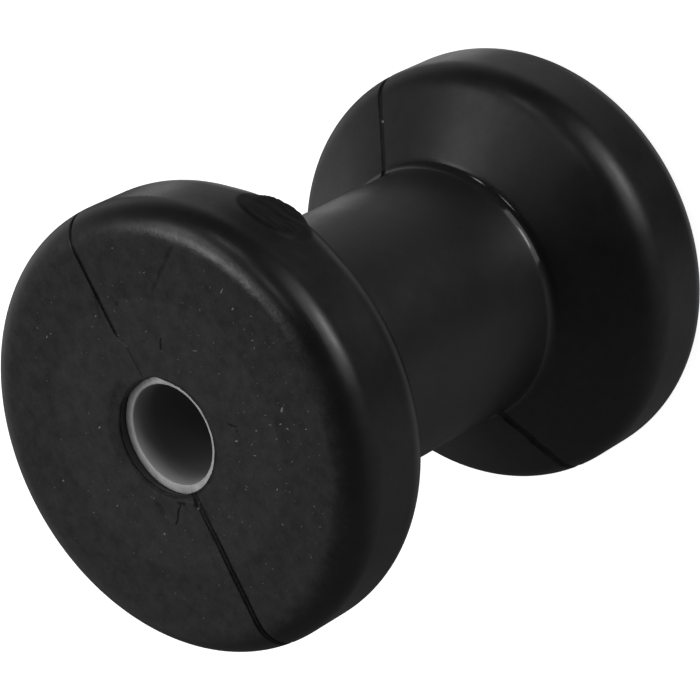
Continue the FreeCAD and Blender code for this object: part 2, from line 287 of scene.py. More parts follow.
def line_course(tree, x, height, wander):
    """The parting line's course: how far it strays in y, how faint it is, and the thin side."""
    in_plane = add(tree, "ShaderNodeCombineXYZ", {0: x, 2: height})
    wave = add(tree, "ShaderNodeTexNoise", {"Vector": in_plane, "Scale": 190.0, "Detail": 3.0})
    wave = add(tree, "ShaderNodeMath", {0: wave, 1: 0.5}, operation="SUBTRACT")
    wave = add(tree, "ShaderNodeMath", {0: wave, 1: wander}, operation="MULTIPLY")
    on_top = add(tree, "ShaderNodeMath", {0: height, 1: (LENGTH - FACE_DEPTH) * MM},
                 operation="GREATER_THAN")
    thin_side = add(tree, "ShaderNodeMath", {0: x, 1: 0.0}, operation="GREATER_THAN")
    wave = add(tree, "ShaderNodeMath", {0: thin_side, 1: LINE_SHIFT * MM, 2: wave},
               operation="MULTIPLY_ADD")
    aside = add(tree, "ShaderNodeMapRange", {
        "Value": x, "From Min": LINE_STEP_RADII[0] * MM, "From Max": LINE_STEP_RADII[1] * MM},
        interpolation_type="SMOOTHSTEP")
    aside = add(tree, "ShaderNodeMath", {0: aside, 1: thin_side}, operation="MULTIPLY")
    aside = add(tree, "ShaderNodeMath", {0: aside, 1: on_top}, operation="MULTIPLY")
    wave = add(tree, "ShaderNodeMath", {0: aside, 1: LINE_STEP * MM, 2: wave}, operation="MULTIPLY_ADD")
    size_x = add(tree, "ShaderNodeMath", {0: x}, operation="ABSOLUTE")
    faint = add(tree, "ShaderNodeMapRange", {
        "Value": size_x, "From Min": LINE_FAINT_RADII[0] * MM, "From Max": LINE_FAINT_RADII[1] * MM,
        "To Max": 0.6})
    faint = add(tree, "ShaderNodeMath", {0: faint, 1: on_top}, operation="MULTIPLY")
    faint = add(tree, "ShaderNodeMath", {0: faint, 1: aside}, operation="MAXIMUM")
    return wave, faint, thin_side


def line_width(tree, height, thin_side, widths):
    """Half the parting line's width, for both sides of the near flange and of the far one."""
    wide, thin, far_wide, far_thin = widths
    width = add(tree, "ShaderNodeMapRange", {"Value": thin_side, "To Min": wide, "To Max": thin})
    far = add(tree, "ShaderNodeMapRange", {"Value": thin_side, "To Min": far_wide, "To Max": far_thin})
    low_down = add(tree, "ShaderNodeMapRange", {
        "Value": height, "From Min": LINE_CHANGE[0] * MM, "From Max": LINE_CHANGE[1] * MM})
    return add(tree, "ShaderNodeMapRange", {"Value": low_down, "To Min": width, "To Max": far})


def grow_spool(tree):
    """Turns the spool, then cuts the parting line, trims the mouth's lip and raises the gate's stub."""
    given = add(tree, "NodeGroupInput")
    grid, radius, height, spoke = turned(tree, given)
    spoke_parts = add(tree, "ShaderNodeSeparateXYZ", {0: spoke})

    # Columns beside the parting line run parallel to it, and the rest spread evenly
    half = 2 * LINE_WIDE * MM
    size_y = add(tree, "ShaderNodeMath", {0: spoke_parts.outputs["Y"]}, operation="ABSOLUTE")
    angle = add(tree, "ShaderNodeMath", {0: size_y}, operation="ARCSINE")
    rim_turn = math.asin(half / (RIM * MM))
    sine = add(tree, "ShaderNodeMath", {0: half, 1: radius}, operation="DIVIDE")
    near_turn = add(tree, "ShaderNodeMath", {0: sine}, operation="ARCSINE")
    far_turn = add(tree, "ShaderNodeMath", {0: math.pi / 2, 1: near_turn}, operation="SUBTRACT")
    near = add(tree, "ShaderNodeMapRange", {"Value": angle, "From Max": rim_turn, "To Max": near_turn})
    far = add(tree, "ShaderNodeMapRange", {
        "Value": angle, "From Min": rim_turn, "From Max": math.pi / 2, "To Max": far_turn})
    turn = add(tree, "ShaderNodeMath", {0: near, 1: far})
    across = add(tree, "ShaderNodeMath", {0: turn}, operation="SINE")
    along = add(tree, "ShaderNodeMath", {0: turn}, operation="COSINE")
    x_side = add(tree, "ShaderNodeMath", {0: spoke_parts.outputs["X"]}, operation="SIGN")
    y_side = add(tree, "ShaderNodeMath", {0: spoke_parts.outputs["Y"]}, operation="SIGN")
    x_unit = add(tree, "ShaderNodeMath", {0: along, 1: x_side}, operation="MULTIPLY")
    y_unit = add(tree, "ShaderNodeMath", {0: across, 1: y_side}, operation="MULTIPLY")
    x = add(tree, "ShaderNodeMath", {0: x_unit, 1: radius}, operation="MULTIPLY")
    y = add(tree, "ShaderNodeMath", {0: y_unit, 1: radius}, operation="MULTIPLY")
    point = add(tree, "ShaderNodeCombineXYZ", {0: x, 1: y, 2: height})
    spool = add(tree, "GeometryNodeSetPosition", {"Geometry": grid, "Position": point})

    # The mould's two halves meet in a line that wanders a little, and steps aside near the mouth
    wave, faint, thin_side = line_course(tree, x, height, given.outputs["Line wander"])
    size_y = add(tree, "ShaderNodeMath", {0: y}, operation="ABSOLUTE")
    fade = add(tree, "ShaderNodeMapRange", {
        "Value": size_y, "From Min": half, "From Max": LINE_FADE * MM, "To Min": 1.0, "To Max": 0.0},
        interpolation_type="SMOOTHSTEP")
    wave = add(tree, "ShaderNodeMath", {0: wave, 1: fade}, operation="MULTIPLY")
    offset = add(tree, "ShaderNodeCombineXYZ", {1: wave})
    spool = add(tree, "GeometryNodeSetPosition", {"Geometry": spool, "Offset": offset})

    # The line itself is cut in along the surface's normal, with a ridge in it on the near face's -X side
    normal = add(tree, "GeometryNodeInputNormal")
    sides = ("Line wide side", "Line thin side", "Far wide side", "Far thin side")
    width = line_width(tree, height, thin_side, [given.outputs[name] for name in sides])
    inside = add(tree, "ShaderNodeMath", {0: size_y, 1: width}, operation="DIVIDE")
    sunk = add(tree, "ShaderNodeMapRange", {
        "Value": inside, "From Min": 0.6, "From Max": 1.1, "To Min": 1.0, "To Max": 0.0},
        interpolation_type="SMOOTHSTEP")
    off_ridge = add(tree, "ShaderNodeMath", {0: y, 1: RIDGE_PLACE * MM}, operation="SUBTRACT")
    off_ridge = add(tree, "ShaderNodeMath", {0: off_ridge}, operation="ABSOLUTE")
    ridge = add(tree, "ShaderNodeMapRange", {
        "Value": off_ridge, "From Min": RIDGE_EDGES[0] * MM, "From Max": RIDGE_EDGES[1] * MM,
        "To Min": 0.75, "To Max": 0.0}, interpolation_type="SMOOTHSTEP")
    ridged = add(tree, "ShaderNodeMapRange", {
        "Value": height, "From Min": (LENGTH - RIDGE_DEPTHS[0]) * MM,
        "From Max": (LENGTH - RIDGE_DEPTHS[1]) * MM})
    ridged = add(tree, "ShaderNodeMath", {0: ridged, 1: thin_side}, operation="SUBTRACT")
    ridged = add(tree, "ShaderNodeMath", {0: ridged, 1: 0.0}, operation="MAXIMUM")
    ridge = add(tree, "ShaderNodeMath", {0: ridge, 1: ridged}, operation="MULTIPLY")
    left = add(tree, "ShaderNodeMath", {0: 1.0, 1: ridge}, operation="SUBTRACT")
    sunk = add(tree, "ShaderNodeMath", {0: sunk, 1: left}, operation="MULTIPLY")
    shallow = add(tree, "ShaderNodeMath", {0: faint, 1: -0.6, 2: 1.0}, operation="MULTIPLY_ADD")
    sunk = add(tree, "ShaderNodeMath", {0: sunk, 1: shallow}, operation="MULTIPLY")
    outside = add(tree, "ShaderNodeMath", {0: radius, 1: (LIP + 0.1) * MM}, operation="GREATER_THAN")
    sunk = add(tree, "ShaderNodeMath", {0: sunk, 1: outside}, operation="MULTIPLY")
    depth = add(tree, "ShaderNodeMath", {0: sunk, 1: given.outputs["Line depth"]}, operation="MULTIPLY")
    inward = add(tree, "ShaderNodeMath", {0: depth, 1: -1.0}, operation="MULTIPLY")
    offset = add(tree, "ShaderNodeVectorMath", {0: normal, "Scale": inward}, operation="SCALE")
    spool = add(tree, "GeometryNodeSetPosition", {"Geometry": spool, "Offset": offset})

    # The lip of the mouth, which was trimmed a little off centre and hangs over the pipe's end
    place = add(tree, "GeometryNodeInputPosition")
    near_lip = add(tree, "ShaderNodeMapRange", {
        "Value": radius, "From Min": LIP_RADII[0] * MM, "From Max": LIP_RADII[1] * MM},
        interpolation_type="SMOOTHSTEP")
    top = add(tree, "ShaderNodeMath", {0: height, 1: (LENGTH - LIP_HEIGHT) * MM},
              operation="GREATER_THAN")
    near_lip = add(tree, "ShaderNodeMath", {0: near_lip, 1: top}, operation="MULTIPLY")
    frayed = add(tree, "ShaderNodeTexNoise", {"Vector": place, "Scale": 700.0, "Detail": 2.0})
    frayed = add(tree, "ShaderNodeMapRange", {
        "Value": frayed, "To Min": -LIP_FRAY * MM, "To Max": LIP_FRAY * MM})
    ragged = add(tree, "ShaderNodeVectorMath", {0: spoke, "Scale": frayed}, operation="SCALE")
    moved = add(tree, "ShaderNodeVectorMath", {0: ragged, 1: Vector(LIP_SHIFT) * MM})
    offset = add(tree, "ShaderNodeVectorMath", {0: moved, "Scale": near_lip}, operation="SCALE")
    spool = add(tree, "GeometryNodeSetPosition", {"Geometry": spool, "Offset": offset})

    # The gate's stub stands on a low swelling: what lies under its oval is raised to the cut's tilted
    # plane, less towards the oval's two ends, and torn at one of them
    oval, shares, reach = gate_oval(tree, place)
    swollen = add(tree, "ShaderNodeMapRange", {
        "Value": oval, "From Min": 2.0, "From Max": 0.7, "To Max": given.outputs["Gate swell"]},
        interpolation_type="SMOOTHSTEP")
    offset = add(tree, "ShaderNodeVectorMath", {0: GATE_OUTWARD, "Scale": swollen}, operation="SCALE")
    spool = add(tree, "GeometryNodeSetPosition", {"Geometry": spool, "Offset": offset})
    stub = add(tree, "ShaderNodeMapRange", {
        "Value": oval, "From Min": 0.92, "From Max": 1.02, "To Min": 1.0, "To Max": 0.0},
        interpolation_type="SMOOTHSTEP")
    along_gate = add(tree, "ShaderNodeSeparateXYZ", {0: shares})
    plane = add(tree, "ShaderNodeMath", {
        0: along_gate, 1: given.outputs["Gate tilt"], 2: given.outputs["Gate plane"]},
        operation="MULTIPLY_ADD")
    missing = add(tree, "ShaderNodeMath", {0: plane, 1: reach}, operation="SUBTRACT")
    from_ends = add(tree, "ShaderNodeMath", {0: along_gate}, operation="ABSOLUTE")
    rising = add(tree, "ShaderNodeMapRange", {
        "Value": from_ends, "From Min": 1.0, "From Max": 0.4}, interpolation_type="SMOOTHSTEP")
    stub = add(tree, "ShaderNodeMath", {0: stub, 1: rising}, operation="MULTIPLY")
    torn_at = add(tree, "ShaderNodeVectorMath", {0: shares, 1: (0.9, 3.2, 0.0)}, operation="MULTIPLY")
    torn = add(tree, "ShaderNodeTexNoise", {"Vector": torn_at, "Scale": 1.0, "Detail": 3.0})
    torn = add(tree, "ShaderNodeMapRange", {
        "Value": torn, "From Min": 0.3, "From Max": 0.7,
        "To Min": GATE_TORN[0] * MM, "To Max": GATE_TORN[1] * MM})
    worse = add(tree, "ShaderNodeMapRange", {
        "Value": along_gate, "From Min": 0.1, "From Max": -0.6, "To Min": 0.25, "To Max": 1.0})
    torn = add(tree, "ShaderNodeMath", {0: torn, 1: worse}, operation="MULTIPLY")
    height_there = add(tree, "ShaderNodeMath", {0: missing, 1: torn})
    lift = add(tree, "ShaderNodeMath", {0: height_there, 1: stub}, operation="MULTIPLY")
    offset = add(tree, "ShaderNodeVectorMath", {0: GATE_OUTWARD, "Scale": lift}, operation="SCALE")
    spool = add(tree, "GeometryNodeSetPosition", {"Geometry": spool, "Offset": offset})
    painted(tree, given, add(tree, "GeometryNodeSetShadeSmooth", {"Geometry": spool}))


grow_spool(rubber_tree)


def columns(even, closer):
    """Azimuths of a ring's columns: even steps, and closer ones at the places that have fine detail."""
    count = round(360 / even)
    steps = [i * 360 / count for i in range(count)]
    for centre, reach, step in closer:
        steps = [a for a in steps if abs((a - centre + 180) % 360 - 180) > reach + even / 2]
        half_count = math.ceil(reach / step)
        steps += [centre + i * reach / half_count for i in range(-half_count, half_count + 1)]
    return sorted(a % 360 for a in steps)


def ring(name, azimuths):
    """A ring of the given azimuths, as a closed chain."""
    return chain(name, [(math.cos(math.radians(a)), math.sin(math.radians(a)), 0) for a in azimuths])


# Marks on the rubber in mm: start, end, half width, how much painted shade darkens it, and height (cuts are
# below 0)
TOP = LENGTH - DISH
MARKS = (
    ((26.2, -19.8, TOP), (21.7, -12.0, TOP), 0.50, 0.30, -0.03),
    ((14.3, -8.9, TOP), (12.8, -7.7, TOP), 0.35, 0.6, -0.08),
    ((-11.7, 0.7, TOP), (-11.1, 0.2, TOP), 0.55, 0.9, -0.2),
    ((-10.4, 3.6, TOP), (-13.2, 6.7, TOP), 0.25, 0.7, -0.07),
    ((-10.7, 2.9, TOP), (-11.5, 1.6, TOP), 0.90, 0.0, 0.14),
    ((-10.3, 4.1, TOP), (-10.9, 3.0, TOP), 0.35, 0.6, -0.05),
    ((-2.2, -13.9, TOP), (-3.0, -15.1, TOP), 0.35, 0.65, -0.06),
    ((-3.0, -15.1, TOP), (-3.8, -14.8, TOP), 0.35, 0.55, -0.06),
    ((24.6, 0.2, TOP), (21.6, 1.2, TOP), 0.50, 0.35, -0.04),
    ((22.4, -3.6, TOP), (22.1, -3.3, TOP), 0.55, 0.4, -0.05),
    ((-9.2, 8.5, TOP), (-10.6, 8.2, TOP), 0.90, 0.3, -0.03),
    ((33.4, 7.7, 20.4), (33.2, 9.4, 20.5), 0.45, 0.8, -0.1),
    ((33.2, 9.4, 20.5), (32.3, 9.7, 21.3), 0.35, 0.7, -0.1),
)

# Painted shade in a halo round one side of the mouth, and the heights of the surface's own relief
MOUTH_REACH = 13.0
HALO_SHADE_RADII = (12.8, 11.6)
HALO_SHADE_AZIMUTH = 55
HALO_SHADE_SPREAD = (48, 32)
RING_HEIGHT = 0.009
WAVE_HEIGHT = 0.11
GRAIN_HEIGHT = 0.006
FACE_GRAIN_HEIGHT = 0.022


def surface(name):
    """A material, its tree, and a place on the piece: in metres, in mm, its parts in mm, and its radius."""
    material = bpy.data.materials.new(name)
    material.use_nodes = True
    tree = material.node_tree
    where = add(tree, "ShaderNodeTexCoord").outputs["Object"]
    mm = add(tree, "ShaderNodeVectorMath", {0: where, "Scale": 1 / MM}, operation="SCALE")
    parts = add(tree, "ShaderNodeSeparateXYZ", {0: mm}).outputs
    flat = add(tree, "ShaderNodeCombineXYZ", {0: parts["X"], 1: parts["Y"]})
    radius = add(tree, "ShaderNodeVectorMath", {0: flat}, operation="LENGTH").outputs["Value"]
    return material, tree, where, mm, parts, radius


def rubber():
    """Carbon-black rubber cured in a turned steel mould.

    It takes over the mould's polish, brightest in the roots, with the faint rings of the lathe; release
    agent and handling leave cloudy duller patches. Cuts and the torn gate are rubber without the mould's
    skin, which is rougher and takes less gloss. Painted shade makes them nearly black, and with them the
    parting line, the trimmed lip and a halo round one side of the mouth; painted light makes the barrel
    and the walls inside the mouth a little paler.
    """
    material, tree, where, mm, parts, radius = surface("moulded_black_rubber")
    shader = tree.nodes["Principled BSDF"]
    azimuth = add(tree, "ShaderNodeMath", {0: parts["Y"], 1: parts["X"]}, operation="ARCTAN2")
    from_middle = add(tree, "ShaderNodeMath", {0: parts["Z"], 1: LENGTH / 2}, operation="SUBTRACT")
    from_middle = add(tree, "ShaderNodeMath", {0: from_middle}, operation="ABSOLUTE")
    on_face = add(tree, "ShaderNodeMapRange", {
        "Value": from_middle, "From Min": LENGTH / 2 - 1.5, "From Max": LENGTH / 2 - 0.4})

    # Patches of 8 mm, rings of the lathe 0.4 mm apart, grain of 0.5 mm, and waves of 12 mm
    cloud = add(tree, "ShaderNodeTexNoise", {"Vector": mm, "Scale": 0.12, "Detail": 5.0, "Roughness": 0.6})
    turned_at = add(tree, "ShaderNodeCombineXYZ", {0: radius, 1: parts["Z"], 2: azimuth})
    rings = add(tree, "ShaderNodeVectorMath", {0: turned_at, 1: (2.4, 2.4, 1.6)}, operation="MULTIPLY")
    rings = add(tree, "ShaderNodeTexNoise", {"Vector": rings, "Scale": 1.0, "Detail": 3.0})
    grain = add(tree, "ShaderNodeTexNoise", {"Vector": mm, "Scale": 1.9, "Detail": 3.0})
    waves = add(tree, "ShaderNodeTexNoise", {"Vector": mm, "Scale": 0.085, "Detail": 1.0})

    # How much painted shade darkens each place in a mark, and the marks' own relief; a little noise bends
    # them
    wobble = add(tree, "ShaderNodeTexNoise", {"Vector": mm, "Scale": 0.45, "Detail": 2.0})
    wobble = add(tree, "ShaderNodeVectorMath", {0: wobble.outputs["Color"], 1: (0.5, 0.5, 0.5)},
                 operation="SUBTRACT")
    bent = add(tree, "ShaderNodeVectorMath", {0: wobble, 1: (0.9, 0.9, 0.9), 2: mm},
               operation="MULTIPLY_ADD")
    marked = 0.0
    relief = 0.0
    for start, end, half_width, dark, rise in MARKS:
        run = Vector(end) - Vector(start)
        away = add(tree, "ShaderNodeVectorMath", {0: bent, 1: start}, operation="SUBTRACT")
        share = add(tree, "ShaderNodeVectorMath", {0: away, 1: run / run.length_squared},
                    operation="DOT_PRODUCT")
        share = add(tree, "ShaderNodeClamp", {0: share.outputs["Value"]})
        foot = add(tree, "ShaderNodeVectorMath", {0: run, "Scale": share}, operation="SCALE")
        gap = add(tree, "ShaderNodeVectorMath", {0: away, 1: foot}, operation="DISTANCE")
        cover = add(tree, "ShaderNodeMapRange", {
            "Value": gap.outputs["Value"], "From Min": 1.3 * half_width, "From Max": 0.1 * half_width},
            interpolation_type="SMOOTHSTEP")
        darker = add(tree, "ShaderNodeMath", {0: cover, 1: dark}, operation="MULTIPLY")
        marked = add(tree, "ShaderNodeMath", {0: marked, 1: darker}, operation="MAXIMUM")
        relief = add(tree, "ShaderNodeMath", {0: cover, 1: rise, 2: relief}, operation="MULTIPLY_ADD")

    oval = gate_oval(tree, where)[0]
    scar = add(tree, "ShaderNodeMapRange", {"Value": oval, "From Min": 1.1, "From Max": 0.98},
               interpolation_type="SMOOTHSTEP")
    # The gate's scar is rougher and less glossy, and painted shade darkens its colour
    raw_and_painted_shade = add(tree, "ShaderNodeMath", {0: scar, 1: 0.6}, operation="MULTIPLY")
    raw_and_painted_shade = add(tree, "ShaderNodeMath", {0: raw_and_painted_shade, 1: marked}, operation="MAXIMUM")

    # The parting line's own bottom, the trimmed lip, and a halo round one side of the mouth: rougher, and
    # darkened with painted shade
    metres = add(tree, "ShaderNodeSeparateXYZ", {0: where})
    x, y, height = (metres.outputs[name] for name in "XYZ")
    wave, faint, thin_side = line_course(tree, x, height, LINE_WANDER * MM)
    off_line = add(tree, "ShaderNodeMath", {0: y, 1: wave}, operation="SUBTRACT")
    off_line = add(tree, "ShaderNodeMath", {0: off_line}, operation="ABSOLUTE")
    width = line_width(tree, height, thin_side, [half * MM for half in (LINE_WIDE, LINE_THIN, *LINE_FAR)])
    in_line = add(tree, "ShaderNodeMath", {0: off_line, 1: width}, operation="DIVIDE")
    uneven = add(tree, "ShaderNodeSeparateXYZ", {0: wobble})
    in_line = add(tree, "ShaderNodeMath", {0: uneven, 1: 1.6, 2: in_line}, operation="MULTIPLY_ADD")
    in_line = add(tree, "ShaderNodeMapRange", {
        "Value": in_line, "From Min": 1.4, "From Max": 0.6, "To Max": 0.5}, interpolation_type="SMOOTHSTEP")
    strong = add(tree, "ShaderNodeMath", {0: faint, 1: -0.6, 2: 1.0}, operation="MULTIPLY_ADD")
    strong = add(tree, "ShaderNodeMath", {0: thin_side, 1: -0.25, 2: strong}, operation="MULTIPLY_ADD")
    in_line = add(tree, "ShaderNodeMath", {0: in_line, 1: strong}, operation="MULTIPLY")
    raw_and_painted_shade = add(tree, "ShaderNodeMath", {0: raw_and_painted_shade, 1: in_line}, operation="MAXIMUM")
    lip = add(tree, "ShaderNodeMapRange", {"Value": radius, "From Min": LIP + 0.7, "From Max": LIP + 0.3,
                                           "To Max": 0.5})
    # Painted shade: a darker halo on the face round one side of the mouth
    halo_shade = add(tree, "ShaderNodeMapRange", {
        "Value": radius, "From Min": HALO_SHADE_RADII[0], "From Max": HALO_SHADE_RADII[1], "To Max": 0.3},
        interpolation_type="SMOOTHSTEP")
    off_halo_shade = add(tree, "ShaderNodeMath", {0: azimuth, 1: math.radians(HALO_SHADE_AZIMUTH)},
                     operation="SUBTRACT")
    off_halo_shade = add(tree, "ShaderNodeMath", {0: off_halo_shade}, operation="ABSOLUTE")
    halo_shade_side = add(tree, "ShaderNodeMapRange", {
        "Value": off_halo_shade, "From Min": math.radians(HALO_SHADE_SPREAD[0]),
        "From Max": math.radians(HALO_SHADE_SPREAD[1])})
    halo_shade = add(tree, "ShaderNodeMath", {0: halo_shade, 1: halo_shade_side}, operation="MULTIPLY")
    at_mouth = add(tree, "ShaderNodeMath", {0: lip, 1: halo_shade}, operation="MAXIMUM")
    in_mouth = add(tree, "ShaderNodeMapRange", {
        "Value": from_middle, "From Min": LENGTH / 2 - 0.25, "From Max": LENGTH / 2 - 0.45})
    inner = add(tree, "ShaderNodeMath", {0: radius, 1: MOUTH_REACH}, operation="LESS_THAN")
    in_mouth = add(tree, "ShaderNodeMath", {0: in_mouth, 1: inner}, operation="MULTIPLY")
    off_mouth = add(tree, "ShaderNodeMath", {0: 1.0, 1: in_mouth}, operation="SUBTRACT")
    at_mouth = add(tree, "ShaderNodeMath", {0: at_mouth, 1: off_mouth}, operation="MULTIPLY")
    at_mouth = add(tree, "ShaderNodeMath", {0: at_mouth, 1: on_face}, operation="MULTIPLY")
    raw_and_painted_shade = add(tree, "ShaderNodeMath", {0: raw_and_painted_shade, 1: at_mouth}, operation="MAXIMUM")

    colours = add(tree, "ShaderNodeMix", {
        "Factor": cloud, "A": colour("#090909"), "B": colour("#121212")}, data_type="RGBA")
    # Painted light: the barrel and the walls inside the mouth are given a paler colour
    on_barrel = add(tree, "ShaderNodeMapRange", {
        "Value": radius, "From Min": BARREL + 0.8, "From Max": BARREL + 0.1, "To Max": 0.3})
    painted_light_share = add(tree, "ShaderNodeMath", {0: in_mouth, 1: on_barrel}, operation="MAXIMUM")
    painted_light_colour = add(tree, "ShaderNodeMix", {
        "Factor": painted_light_share, "A": colours.outputs["Result"], "B": colour("#262626")}, data_type="RGBA")
    # Painted shade: the cuts, the parting line, the gate's scar, the lip and the halo by the mouth go nearly
    # black
    blackened = add(tree, "ShaderNodeMix", {
        "Factor": raw_and_painted_shade, "A": painted_light_colour.outputs["Result"], "B": colour("#050505")}, data_type="RGBA")
    tree.links.new(blackened.outputs["Result"], shader.inputs["Base Color"])

    # Roughness: 0.34 on the barrel and the flares, 0.1 in the roots between them, 0.3 on rims and faces
    polish = add(tree, "ShaderNodeMapRange", {
        "Value": radius, "From Min": BARREL + 0.01, "From Max": BARREL + 0.12,
        "To Min": 0.34, "To Max": 0.1})
    flare_polish = add(tree, "ShaderNodeMapRange", {
        "Value": radius, "From Min": BARREL + 0.7, "From Max": BARREL + 1.8, "To Max": 0.24})
    polish = add(tree, "ShaderNodeMath", {0: polish, 1: flare_polish})
    outside = add(tree, "ShaderNodeMapRange", {
        "Value": from_middle, "From Min": LENGTH / 2 - 14, "From Max": LENGTH / 2 - 9})
    polish = add(tree, "ShaderNodeMapRange", {"Value": outside, "To Min": polish, "To Max": 0.3})
    patchy = add(tree, "ShaderNodeMapRange", {
        "Value": cloud, "From Min": 0.3, "From Max": 0.7, "To Min": -0.04, "To Max": 0.05})
    polish = add(tree, "ShaderNodeMath", {0: polish, 1: patchy})
    polish = add(tree, "ShaderNodeMath", {0: raw_and_painted_shade, 1: 0.35, 2: polish}, operation="MULTIPLY_ADD")
    tree.links.new(polish.outputs[0], shader.inputs["Roughness"])

    # The gloss is mottled in patches of 2 mm by what is left of the release agent, most on the faces
    mottled = add(tree, "ShaderNodeTexNoise", {
        "Vector": mm, "Scale": 0.45, "Detail": 5.0, "Roughness": 0.75})
    mottled = add(tree, "ShaderNodeMath", {0: mottled, 1: 0.5}, operation="SUBTRACT")
    swing = add(tree, "ShaderNodeMapRange", {"Value": on_face, "To Min": 0.3, "To Max": 0.9})
    gloss = add(tree, "ShaderNodeMath", {0: mottled, 1: swing, 2: 0.5}, operation="MULTIPLY_ADD")
    gloss = add(tree, "ShaderNodeMath", {0: raw_and_painted_shade, 1: -0.45, 2: gloss}, operation="MULTIPLY_ADD")
    tree.links.new(gloss.outputs[0], shader.inputs["Specular IOR Level"])

    # Heights in mm, added up for one bump
    off_face = add(tree, "ShaderNodeMath", {0: 1.0, 1: on_face}, operation="SUBTRACT")
    ring_height = add(tree, "ShaderNodeMath", {0: off_face, 1: RING_HEIGHT}, operation="MULTIPLY")
    relief = add(tree, "ShaderNodeMath", {0: rings, 1: ring_height, 2: relief}, operation="MULTIPLY_ADD")
    relief = add(tree, "ShaderNodeMath", {0: waves, 1: WAVE_HEIGHT, 2: relief}, operation="MULTIPLY_ADD")
    grain_height = add(tree, "ShaderNodeMath", {0: on_face, 1: FACE_GRAIN_HEIGHT, 2: GRAIN_HEIGHT},
                       operation="MULTIPLY_ADD")
    relief = add(tree, "ShaderNodeMath", {0: grain, 1: grain_height, 2: relief}, operation="MULTIPLY_ADD")
    bump = add(tree, "ShaderNodeBump", {"Height": relief, "Distance": MM})
    tree.links.new(bump.outputs[0], shader.inputs["Normal"])
    return material


upper = [(r, 0, LENGTH - z) for r, z in flange_outline(0.3, 0.3)]
lower = [(r, 0, z) for r, z in flange_outline(0.8, 1.0)]
line_reach = math.degrees(math.asin(2 * LINE_WIDE / RIM))
rubber_ring = ring("rubber_ring", columns(2.0, (
    (0, line_reach, 0.13), (180, line_reach, 0.13), (GATE_AZIMUTH, 10.5, 0.4))))
body = grown("rubber_body", chain("rubber_outline", upper + lower[::-1]), rubber_tree,
             {"Ring": rubber_ring, "Material": rubber()}, "roller_body")
bpy.data.objects.remove(rubber_ring)

# Bore liner
# A length of grey plastic pipe that the rubber was moulded on. It was sawn by hand a little out of
# square, so its end face sits deeper in the mouth on one side, and the bore's edge was broken by a knife.

BORE = 8.5
RECESS = 1.42
SLOPE = math.tan(math.radians(4.2))
SLOPE_FADE = 8
EDGE_BREAK = 0.3
CLOSE_ROWS = 8
SHADE_START_DEPTH = 2
SHADE_FULL_DEPTH = 8

liner_tree = new_tree("sawn_pipe", (
    ("Ring", "Object", None),
    ("Slope", "Float", SLOPE),
    ("Material", "Material", None),
))


def grow_pipe(tree):
    """Turns the pipe's wall, and slopes its upper end as the saw left it."""
    given = add(tree, "NodeGroupInput")
    grid, radius, height, spoke = turned(tree, given)
    across = add(tree, "ShaderNodeVectorMath", {0: spoke, "Scale": radius}, operation="SCALE")
    across_parts = add(tree, "ShaderNodeSeparateXYZ", {0: across})

    # The slope of the saw cut, which fades out down the pipe
    share = add(tree, "ShaderNodeMapRange", {
        "Value": height, "From Min": (LENGTH - SLOPE_FADE) * MM, "From Max": (LENGTH - RECESS) * MM})
    fall = add(tree, "ShaderNodeMath", {0: across_parts.outputs["Y"], 1: given.outputs["Slope"]},
               operation="MULTIPLY")
    fall = add(tree, "ShaderNodeMath", {0: fall, 1: share}, operation="MULTIPLY")
    level = add(tree, "ShaderNodeMath", {0: height, 1: fall}, operation="SUBTRACT")
    point = add(tree, "ShaderNodeCombineXYZ", {
        0: across_parts.outputs["X"], 1: across_parts.outputs["Y"], 2: level})
    pipe = add(tree, "GeometryNodeSetPosition", {"Geometry": grid, "Position": point})
    painted(tree, given, add(tree, "GeometryNodeSetShadeSmooth", {"Geometry": pipe}))


grow_pipe(liner_tree)


